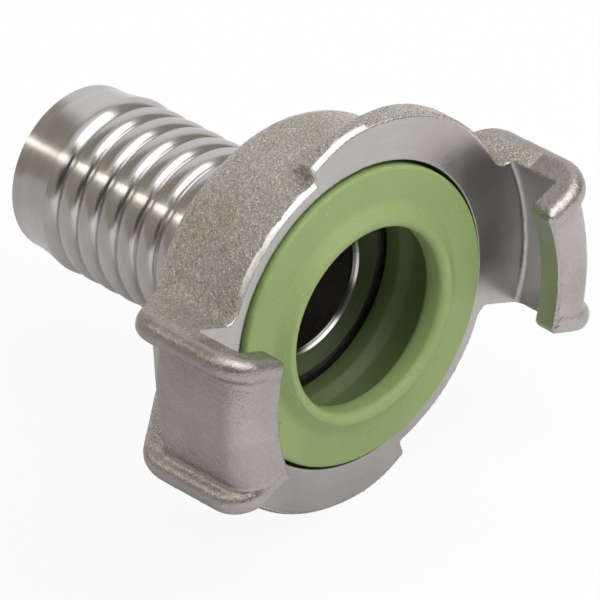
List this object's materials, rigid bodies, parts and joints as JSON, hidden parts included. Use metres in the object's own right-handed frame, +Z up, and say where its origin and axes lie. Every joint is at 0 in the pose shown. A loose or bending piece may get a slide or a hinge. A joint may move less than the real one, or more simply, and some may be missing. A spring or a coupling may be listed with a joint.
{
  "type": "claw coupling half with swivelling hose tail",
  "caption": "Half of a claw coupling for water hoses: a cast head with two hooked claws and two cam wings, a form ring seal and a ribbed hose tail that swivels in the head.",
  "frame": {"origin": "centre of the machined coupling face, where the two halves of a coupling meet", "axes": "+Y along the coupling axis, from the face towards the hose; the two claws stand on +X and -X; +Z up, half way between the claws; each wing runs from its claw to just past +Z or -Z"},
  "size_m": [0.0526, 0.0536, 0.0438],
  "materials": {
    "cast_steel": "cast and blasted, face machined",
    "green_rubber": "satin moulded",
    "turned_steel": "fine turned, bright",
    "spring_steel": "satin",
    "washer_plastic": "matte",
    "black_rubber": "smooth"
  },
  "bodies": {
    "head": {"claw_head": "cast_steel", "form_ring_seal": "green_rubber", "retaining_ring": "spring_steel", "thrust_washer": "washer_plastic"},
    "tail": {"hose_tail": "turned_steel", "neck_o_ring": "black_rubber"}
  },
  "joints": [
    {"name": "tail_swivel", "type": "hinge", "parent": "head", "child": "tail", "pos_m": [0, 0, 0], "axis": [0, 1, 0], "continuous": true}
  ]
}
